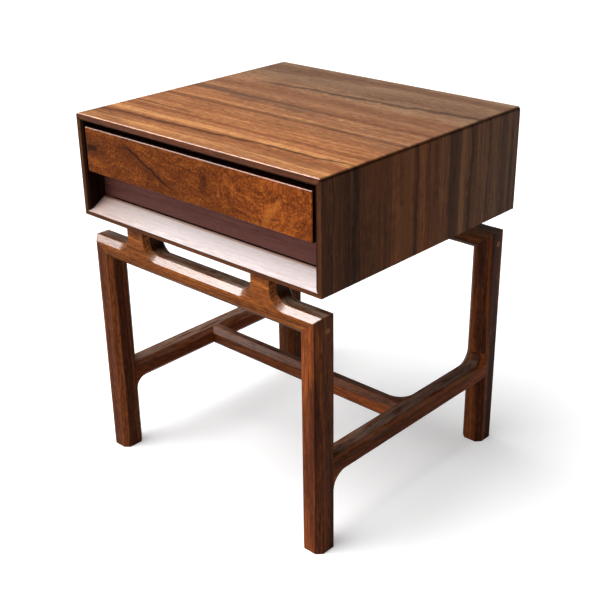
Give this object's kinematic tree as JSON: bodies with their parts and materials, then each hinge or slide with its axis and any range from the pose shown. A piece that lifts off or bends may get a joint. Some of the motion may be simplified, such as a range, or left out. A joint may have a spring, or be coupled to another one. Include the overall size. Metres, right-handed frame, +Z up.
{
  "type": "side table with drawer",
  "caption": "Square side table in dark wood: a mitred box case with a drawer over a recessed finger pull, on a chamfered frame base with an H stretcher.",
  "frame": {"origin": "centre of the object's footprint on the floor", "axes": "+Z up, the drawer's front faces -Y, +X to the right seen from the front"},
  "size_m": [0.45, 0.412, 0.526],
  "materials": {
    "top_veneer": "satin oiled veneer, grain left to right",
    "side_veneer": "satin oiled veneer, grain running up the sides",
    "sill_veneer": "polished veneer",
    "front_veneer": "satin figured veneer",
    "recess_stain": "stained purple brown, satin",
    "base_wood": "satin oiled solid wood",
    "dowel_wood": "end grain",
    "drawer_wood": "plain sanded secondary wood",
    "plywood": "plain sanded plywood",
    "steel": "zinc plated"
  },
  "bodies": {
    "table": {"top_panel": "top_veneer", "bottom_panel": "side_veneer", "left_side_panel": "side_veneer", "right_side_panel": "side_veneer", "back_panel": "plywood", "back_pins": "steel", "front_sill": "sill_veneer", "left_runner": "drawer_wood", "right_runner": "drawer_wood", "left_kicker": "drawer_wood", "right_kicker": "drawer_wood", "out_stops": "drawer_wood", "rear_stops": "drawer_wood", "front_rail": "base_wood", "back_rail": "base_wood", "front_left_leg": "base_wood", "front_right_leg": "base_wood", "back_left_leg": "base_wood", "back_right_leg": "base_wood", "left_stretcher": "base_wood", "right_stretcher": "base_wood", "cross_stretcher": "base_wood", "corner_dowels": "dowel_wood", "case_screws": "steel"},
    "drawer": {"drawer_front": "front_veneer", "front_spacer": "drawer_wood", "recessed_front": "recess_stain", "drawer_left_side": "drawer_wood", "drawer_right_side": "drawer_wood", "drawer_back": "drawer_wood", "drawer_bottom": "plywood", "front_screws": "steel", "bottom_screws": "steel"}
  },
  "joints": [
    {"name": "drawer_slide", "type": "slide", "parent": "table", "child": "drawer", "axis": [0, -1, 0], "range_m": [0, 0.3]}
  ]
}
